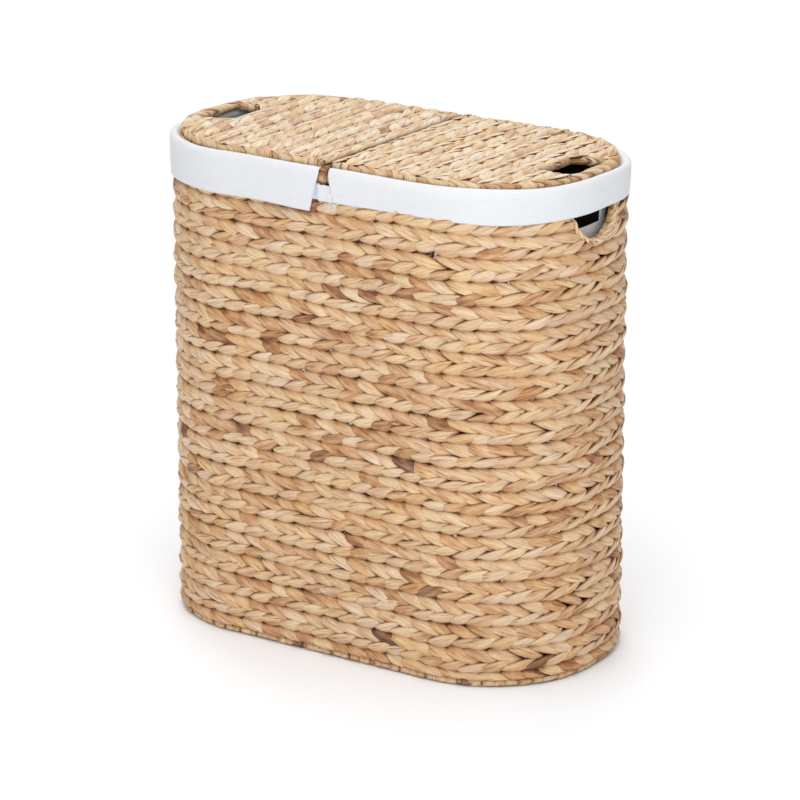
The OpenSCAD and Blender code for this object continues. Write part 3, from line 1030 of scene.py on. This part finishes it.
def lid_edge(name, side):
    """Leaf wound over the lid's outer wire and the weave's ends, with a rolled cord below its end."""
    body = f"{name}_lid"
    outline = lid_outline(side, EDGE_IN)
    broad = lid_outline(side, EDGE_IN + 2.5 * MM)
    surface = flat_at(HINGE_Z)
    grip_half = (GRIP_HI[1] - GRIP_LO[1]) / 2
    corner = 22 * MM
    flat_r = EDGE_R - 1.9 * MM
    heap = Heap()
    length, long = path_length(outline), path_length(broad)
    for start, stop in ((0.0, corner), (length - corner, length)):
        wraps(heap, outline, False, surface, pitch=12 * MM, in_r=flat_r, out_r=flat_r, bulge=1.6 * MM,
              start=start, stop=stop)
    for start, stop in ((corner, long / 2 - grip_half), (long / 2 + grip_half, long - corner)):
        wraps(heap, broad, False, surface, pitch=18 * MM, in_r=flat_r + 2.0 * MM, out_r=flat_r,
              bulge=1.8 * MM, start=start, stop=stop, dark=0.01, slant=0.42, uneven=0.16)
    for path, cut in ((outline, 0), (broad, len(broad) // 8)):
        bar(heap, raised(path, HINGE_Z)[cut:len(path) - cut], flat_r - 0.4 * MM, sides=10)
    heap.make(f"{name}_lid_edge_wraps", LID_WRAP, body, f"{name}_lid_edge")
    heap = Heap()
    held = lid_outline(side, EDGE_IN + 1.0 * MM)
    middle = path_length(held) / 2
    wraps(heap, held, False, surface, pitch=17 * MM, in_r=flat_r + 2.2 * MM, out_r=flat_r,
          bulge=1.8 * MM, slant=0.45, tones=rng.uniform(0.12, 0.4, 6), start=middle - grip_half,
          stop=middle + grip_half, uneven=0.12)
    heap.make(f"{name}_lid_grip_wraps", LID_WRAP, body, f"{name}_lid_grip")
    slot_trim(name, side, body, surface)
    heap = Heap()
    under = lid_outline(side, EDGE_IN - 4.6 * MM)
    under = under[len(under) // 4:-len(under) // 4]
    bar(heap, raised(under, HINGE_Z - 4.6 * MM), 1.8 * MM, ply=2, tone=0.35, seed=50, ply_turn=18 * MM)
    heap.make(f"{name}_lid_edge_cord", LID_WRAP, body)


# ---------- cord ties ----------


def helix(centre, radius, turns, phase, length=8 * MM):
    """A coil round a line along Y, of 20 points a turn."""
    t = np.linspace(0, 1, int(turns * 20) + 1)
    ang = t * turns * TURN + phase
    x, y, z = centre
    return stack(x + radius * np.cos(ang), y + (t - 0.5) * length, z + radius * np.sin(ang))


def hinge_tie(name, sign):
    """A lashing of cord round both lids' wires and the centre bar, and its knot on the rim."""
    heap = Heap()
    y = -sign * TIE_Y
    cord = 1.35 * MM
    bar_z = (BAR_LO[2] + BAR_HI[2]) / 2
    for k, side in enumerate((-1, 1)):
        coil = helix((side * HINGE_X, y, HINGE_Z), radius=4.0 * MM, turns=3.4, phase=k * 1.3)
        bar(heap, coil, cord, ply=2, tone=0.45 + 0.1 * k, seed=3 + k)
    coil = helix((0, y, bar_z), radius=4.5 * MM, turns=3.2, phase=0.7)
    bar(heap, coil, cord, ply=2, tone=0.6, seed=8)
    for k, dy in enumerate((-3.2, -1.0, 1.2, 3.4)):
        t = np.linspace(0, 1, 16)
        lean = (1 if k % 2 else -1) * HINGE_X * 0.55
        x = lean * np.sin(t * math.pi / 2)
        z = bar_z + 4.6 * MM + t * (HINGE_Z - bar_z - 6.5 * MM)
        bar(heap, stack(x, y + dy * MM + 0 * t, z), cord, ply=2, tone=0.5 + 0.08 * k, seed=12 + k)
    heap.make(f"{name}_hinge_tie_cord", CORD, "basket", f"{name}_hinge_tie")
    knot = Heap()
    t = np.linspace(0, TURN, 90, endpoint=False)
    x = 6.0 * MM * (np.sin(t) + 0.55 * np.sin(2 * t + 0.4))
    z = 5.2 * MM * (np.cos(t) - 0.75 * np.cos(2 * t))
    face = -sign * (HALF_D - 2.6 * MM)
    pts = stack(x, face + 1.7 * MM * np.sin(3 * t), RIM_HI[2] + 3.5 * MM + z)
    bar(knot, pts, 1.9 * MM, closed=True, ply=2, tone=0.55, seed=21, ply_turn=7 * MM)
    for k, (dx, dz) in enumerate(((-9, -4), (8, -6))):
        t = np.linspace(0, 1, 10)
        pts = stack(dx * MM * t, face - sign * 0.8 * MM * t, RIM_HI[2] + 2 * MM + dz * MM * t ** 1.5)
        bar(knot, pts, 1.1 * MM, ply=2, tone=0.5 + 0.2 * k, seed=31 + k)
    knot.make(f"{name}_hinge_knot", CORD, "basket")


# ---------- canvas liners ----------


def cuff_profile(low, count):
    """Out and height of the folded canvas, from inside the bag over the rim and down to its hem."""
    rim = RIM_HI[2]
    over = [(-16.4, -4.5), (-16.2, -2.5), (-15.0, 0.6), (-12.0, 1.1), (-9.0, 1.1), (-6.4, 1.4), (-5.6, 3.4),
            (-4.6, 6.0), (-2.4, 8.0), (0.4, 8.1), (2.8, 6.0), (4.2, 2.6), (4.6, -1.0)]
    fall = np.linspace(-4.5 * MM, low - rim, count)
    puff = 4.6 * MM - 1.9 * MM * np.linspace(0, 1, count) ** 2
    head = np.array(over) * MM + [0, rim]
    return np.vstack([head, stack(puff, rim + fall)])


def canvas_slab(heap, mid, thickness, mask=None, loop_u=False, uv=None):
    """Gives a grid of points an even thickness along its own normals."""
    if loop_u:
        du = np.roll(mid, -1, axis=0) - np.roll(mid, 1, axis=0)
    else:
        du = np.gradient(mid, axis=0)
    half = unit(np.cross(du, np.gradient(mid, axis=1))) * thickness / 2
    slab(heap, mid + half, mid - half, mask, loop_u=loop_u, uv=uv)


def liner_cuff(name, side):
    """The bag's top, folded over the rim; its two ends hang open at the middle of the long sides."""
    low = CUFF_HEM[side]
    top_gap, low_gap = (4.5 * MM, 19.0 * MM) if side < 0 else (10.0 * MM, 16.0 * MM)
    prof = cuff_profile(low, 18)
    run = arc_lengths(prof)
    hang = np.clip((RIM_HI[2] - prof[:, 1]) / (RIM_HI[2] - low), 0, 1) * (prof[:, 0] > 0)
    gap = top_gap + (low_gap - top_gap) * hang
    gap = np.where(prof[:, 0] < -4 * MM, np.maximum(gap, 2 * MM - TIE_LO[0]), gap)
    frac = np.linspace(0, 1, 320)[:, None]
    if side > 0:
        ss = at_front(gap) + frac * (at_back(gap) - at_front(gap))
    else:
        ss = at_back(-gap) + frac * (PERIMETER + at_front(-gap) - at_back(-gap))
    rr = run[None, :] + 0 * ss
    hh = hang[None, :] + 0 * ss
    wave = (0.9 * np.sin(ss / 0.071 + side) + 0.7 * np.sin(ss / 0.033 + 2)
            + 0.5 * np.sin(ss / 0.0171 + rr * 60))
    crown = np.clip((prof[:, 1] - RIM_HI[2]) / (4 * MM), 0, 1)[None, :]
    out = prof[None, :, 0] + 0.9 * MM * wave * np.maximum(hh, 0.5 * crown)
    hem = np.exp(-(((rr - run[-1] + 9 * MM) / (0.9 * MM)) ** 2)) * 0.5 * MM
    x, y, _, _ = plan_at(ss, out - hem)
    dip = 1.6 * MM * (np.sin(ss / 0.11 + 1.3 * side) + 0.5 * np.sin(ss / 0.037)) * hh
    sag = 5.5 * MM * np.exp(-(((ss - ss[-1:]) / 0.06) ** 2)) * hh if side < 0 else 0
    back = plan_at(ss, 0)[3]
    rearward = np.clip((back + 0.85) / 0.6 if side < 0 else (back - 0.1) / 0.5, 0, 1)
    proud = np.maximum(prof[None, :, 1] - RIM_HI[2] - 1.5 * MM, 0)
    pressed = 0.6 * rearward ** 2 * (3 - 2 * rearward) * proud
    z = prof[None, :, 1] - pressed + dip - sag + 0.6 * MM * np.sin(ss / 0.027 + side) * crown
    heap = Heap()
    canvas_slab(heap, stack(x, y, z), 1.0 * MM, uv=stack(ss, rr))
    obj = heap.make(f"{name}_liner_cuff_canvas", CANVAS, "basket", f"{name}_liner_cuff")


def bag_loop(side, count=260):
    """Plan of a liner bag: round the end, then back along its centre wall."""
    inset = HALF_D - BAG_HI[1] + 0.75 * MM
    x_in = BAG_LO[0] + 0.75 * MM
    seam_x = x_in + BAG_CORNER
    s = np.linspace(at_front(seam_x), at_back(seam_x), 220)
    x, y, _, _ = plan_at(s, -inset)
    y_end = HALF_D - inset - BAG_CORNER
    rear, front = np.radians(np.linspace(90, 180, 8))[1:], np.radians(np.linspace(180, 270, 8))[:-1]
    wall_y = np.linspace(y_end, -y_end, 40)[1:-1]
    px = np.concatenate([x, seam_x + BAG_CORNER * np.cos(rear), np.full(len(wall_y), x_in),
                         seam_x + BAG_CORNER * np.cos(front)])
    py = np.concatenate([y, y_end + BAG_CORNER * np.sin(rear), wall_y, -y_end + BAG_CORNER * np.sin(front)])
    path = stack(px, py)
    steps = np.linspace(0, path_length(path, True), count, endpoint=False)
    point, tan = walk(path, steps, True)
    inward = stack(-tan[:, 1], tan[:, 0])
    return point * np.array([side, 1]), inward * np.array([side, 1]), steps


def liner_bag(name, side):
    """A sewn tube of canvas with a hand slot, and a dark sheet on its inner face that paints the shade
    inside the bag.
    """
    point, inward, steps = bag_loop(side)
    rise = np.concatenate([np.linspace(0, 0.9, 46), np.linspace(0.9, 1.0, 14)[1:]])
    on_seam = np.abs(point[:, 0]) < CUFF_LO[0] - 2 * MM
    top = np.where(on_seam, BAG_SEAM_TOP, BAG_HI[2] - 1 * MM)
    for _ in range(6):
        top = (np.roll(top, 1) + top + np.roll(top, -1)) / 3
    z0 = BAG_LO[2]
    zz = z0 + rise[None, :] * (top[:, None] - z0)
    at_end = point[:, 0] * side > MID_X
    for level in np.linspace(BAG_SLOT_LOW, HANDLE_TOP, 5):
        zz[at_end, np.argmin(np.abs(zz[0] - level))] = level
    ss = steps[:, None] + 0 * zz
    fall = np.clip((zz - z0) / 0.05, 0, 1) * np.clip((top[:, None] - zz) / 0.10, 0, 1)
    wave = 1.1 + np.sin(ss / 0.021 + 2 * np.sin(zz / 0.09)) + 0.6 * np.sin(ss / 0.0097 + zz / 0.07)
    push = (1.2 * MM * wave + 0.6 * MM) * fall
    mid = raised(point[:, None, :] + inward[:, None, :] * push[..., None], zz)
    cx = mid[:, :-1, 0] * side
    cy = (mid[:, :-1, 1] + np.roll(mid, -1, axis=0)[:, :-1, 1]) / 2
    cz = (zz[:, :-1] + zz[:, 1:]) / 2
    hole = (cx > MID_X) & (np.abs(cy - HANDLE_Y) < BAG_SLOT_HALF) & (cz > BAG_SLOT_LOW) & (cz < HANDLE_TOP)
    uv = stack(ss, zz)
    around = path_length(point, True)
    bag_sheet(name, "canvas", side, mid, ~hole, uv, CANVAS)
    # the dark inner sheet stops one row below the top, where the inside shows white
    shaded_rows = len(rise) - 1
    inside = mid.copy()
    inside[..., :2] += inward[:, None, :] * 0.95 * MM
    bag_sheet(name, "painted_shade_sheet", side, inside[:, :shaded_rows], ~hole[:, :shaded_rows - 1], uv[:, :shaded_rows], INNER_SHADE_CANVAS)
    return point


def bag_sheet(name, label, side, mid, cells, uv, material):
    """One face of a liner bag."""
    if side < 0:
        mid, cells, uv = mid[:, ::-1], cells[:, ::-1], uv[:, ::-1]
    heap = Heap()
    canvas_slab(heap, mid, 0.8 * MM, cells, loop_u=True, uv=uv)
    obj = heap.make(f"{name}_liner_bag_{label}", material, "basket", f"{name}_liner_bag")


def liner_floor(name, side, loop):
    """The bag's floor, inside the loop of its lower edge, painted dark as the shade at the bottom of the
    bag.
    """
    middle = loop.mean(axis=0)
    xy = middle + (loop[:, None, :] - middle) * (np.linspace(0, 1, 14)[None, :, None] * 0.985)
    wrinkle = 0.5 * MM * np.sin(xy[..., 0] / 0.023) * np.sin(xy[..., 1] / 0.031)
    level = (FLOOR_LO[2] + FLOOR_HI[2]) / 2
    heap = Heap()
    disc(heap, *(raised(xy, level + sign * 0.45 * MM + wrinkle * 0.5) for sign in (side, -side)))
    obj = heap.make(f"{name}_liner_floor_canvas", INNER_SHADE_CANVAS, "basket", f"{name}_liner_floor")


def strap_frays(name, sign, face, low):
    """Loose thread ends below the loop tab."""
    heap = Heap()
    for k in range(12):
        start_x, start_z = rng.uniform(4, 17) * MM, low + rng.uniform(-1, 1) * MM
        t = np.linspace(0, 1, 9)
        sway = rng.normal(0, 3.0, 2) * MM
        x = start_x + sway[0] * t + sway[1] * t * t
        z = start_z - rng.uniform(7, 15) * MM * t
        y = -sign * (face + 1.5 * MM + 1.2 * MM * np.sin(3 * t + k))
        bar(heap, stack(x, y, z), 0.34 * MM, sides=5, seed=60 + k)
    return heap.make(f"{name}_liner_strap_frays", CANVAS, "basket")


def liner_strap(name, sign):
    """A hook tab sewn to one cuff and a loop tab sewn to the other, pressed together over the gap."""
    face = HALF_D + 1.6 * MM
    z0, z1 = STRAP_LO[2], STRAP_HI[2] - 2 * MM
    frays = strap_frays(name, sign, face, z0)
    for label, material, x0, x1, lift, drop, loose in (
        ("hook", HOOK_TAPE, -14, -3, 1.2, 0.0, []), ("loop", LOOP_TAPE, -6, 15, 2.2, 1.0, [frays]),
    ):
        xs = np.linspace(x0 * MM, x1 * MM, 24)
        zs = np.linspace(z0 - drop * MM, z1 - drop * MM, 20)
        xx, zz = np.meshgrid(xs, zs, indexing="ij")
        curl = lift * MM + 0.35 * MM * np.sin(xx / 0.0021 + lift) + 0.2 * MM * np.sin(zz / 0.003)
        rag = 0.5 * MM * np.sin(zz / 0.0019 + lift)
        mid = stack(xx + rag, -sign * (face + curl), zz)
        if sign < 0:
            mid = mid[::-1]
        heap = Heap()
        canvas_slab(heap, mid, 0.9 * MM, uv=stack(xx, zz))
        obj = heap.make(f"{name}_liner_{label}_tab", material, "basket", f"{name}_liner_strap")
        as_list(loose)


# ---------- build ----------

woven_wall()
wall_core()
base_binding()
rim_binding()
handle_binding("right_handle_binding", at_right(HANDLE_Y))
handle_binding("left_handle_binding", at_left(HANDLE_Y))
woven_base()
for lid_name, lid_side in (("left", -1), ("right", 1)):
    lid_weave(lid_name, lid_side)
    lid_core(lid_name, lid_side)
    lid_edge(lid_name, lid_side)
    liner_cuff(lid_name, lid_side)
    bag_points = liner_bag(lid_name, lid_side)
    liner_floor(lid_name, lid_side, bag_points)
for end_name, end_sign in (("front", 1), ("rear", -1)):
    hinge_tie(end_name, end_sign)
    liner_strap(end_name, end_sign)

# ---------- stage, light and camera ----------

FLOOR_HALF = 30.0
AZIMUTH, ELEVATION, DISTANCE, LENS = 33.7, 17.4, 4.656, 167.73    # the photograph's view
AIM_RIGHT, AIM_DOWN = 3.6 * MM, 24 * MM    # from the basket's middle, to frame it as the photograph does
MIDDLE = Vector((0, 0, cad_box[1][2] / 2))


def studio_floor():
    """A plain pale floor under the basket."""
    me = bpy.data.meshes.new("floor")
    corners = ((-1, -1), (1, -1), (1, 1), (-1, 1))
    me.from_pydata([(x * FLOOR_HALF, y * FLOOR_HALF, 0) for x, y in corners], [], [(0, 1, 2, 3)])
    floor = place("floor", me)
    m = Nodes("floor_paper")
    colour = m.mix(m.noise(m.position(), 3.0), (0.89, 0.91, 0.94), (0.90, 0.92, 0.95))
    me.materials.append(m.finish(colour, 0.9, specular=0.1))


def direction(azimuth, elevation):
    """From the basket outwards; azimuth 0 is the front and 90 the right."""
    az, el = math.radians(azimuth), math.radians(elevation)
    return Vector((math.sin(az) * math.cos(el), -math.cos(az) * math.cos(el), math.sin(el)))


def light(name, kind, azimuth, elevation, power, distance=5.0, **shape):
    """A lamp that points at the basket."""
    data = bpy.data.lights.new(name, kind)
    data.energy = power
    for key, value in shape.items():
        setattr(data, key, value)
    lamp, away = place(name, data), direction(azimuth, elevation)
    lamp.location = MIDDLE + away * distance
    lamp.rotation_euler = away.to_track_quat("Z", "Y").to_euler()


def camera():
    """The photograph's viewpoint."""
    right = Vector((math.cos(math.radians(AZIMUTH)), math.sin(math.radians(AZIMUTH)), 0))
    aim = MIDDLE - Vector((0, 0, AIM_DOWN)) + right * AIM_RIGHT
    data = bpy.data.cameras.new("camera")
    data.sensor_width = 36.0
    data.lens = LENS
    data.clip_end = 100
    cam = place("camera", data)
    cam.location = MIDDLE + direction(AZIMUTH, ELEVATION) * DISTANCE
    cam.rotation_euler = (aim - cam.location).to_track_quat("-Z", "Y").to_euler()
    bpy.context.scene.camera = cam


studio_floor()
camera()
light("key_light", "AREA", azimuth=35, elevation=28, power=9.7, distance=1.9, shape="DISK", size=1.1)
light("top_light", "SUN", azimuth=10, elevation=78, power=1.62, angle=math.radians(60))
light("back_light", "SUN", azimuth=-140, elevation=40, power=0.9, angle=math.radians(40))
world = bpy.data.worlds.new("studio")
world.use_nodes = True
background = world.node_tree.nodes["Background"].inputs
background["Color"].default_value = (1, 1, 1, 1)
background["Strength"].default_value = 0.42
bpy.context.scene.world = world
bpy.context.scene.view_settings.view_transform = "Standard"

bpy.context.view_layer.update()
